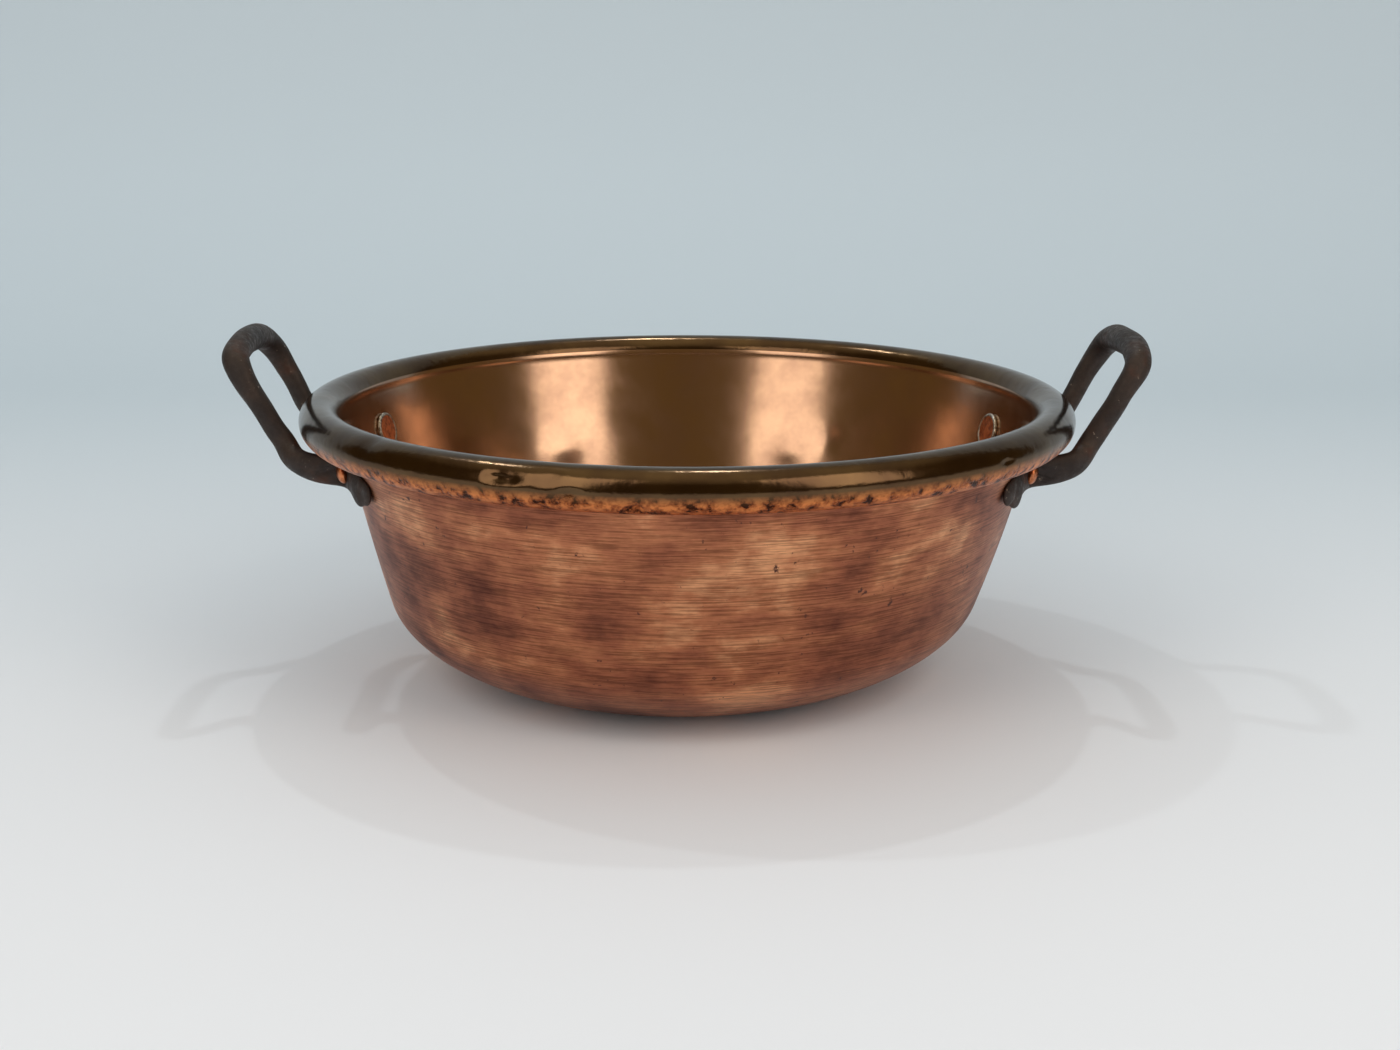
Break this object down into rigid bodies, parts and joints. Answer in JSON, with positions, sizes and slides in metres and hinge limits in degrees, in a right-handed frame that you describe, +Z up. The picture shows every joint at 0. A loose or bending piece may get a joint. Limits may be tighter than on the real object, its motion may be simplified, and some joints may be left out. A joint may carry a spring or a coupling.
{
  "type": "two-handled copper pot",
  "caption": "Round open copper pan with a flat floor, flaring wall and thick rolled rim, with upright forged iron loop handles riveted through the wall below the rim.",
  "frame": {"origin": "centre of the floor, on the surface that it stands on", "axes": "+X towards the right handle, +Y towards the back, +Z up"},
  "size_m": [0.5768, 0.49, 0.2192],
  "materials": {
    "copper": "worn satin copper, polished inside",
    "rivet_copper": "hammered copper",
    "forged_iron": "forged, dark brown",
    "ring_iron": "drawn, dull"
  },
  "bodies": {
    "root": {"pan_body": "copper", "rim_wire": "ring_iron", "handle_left": "forged_iron", "handle_right": "forged_iron", "rivet_left_front": "rivet_copper", "rivet_left_back": "rivet_copper", "rivet_right_front": "rivet_copper", "rivet_right_back": "rivet_copper"}
  },
  "joints": []
}
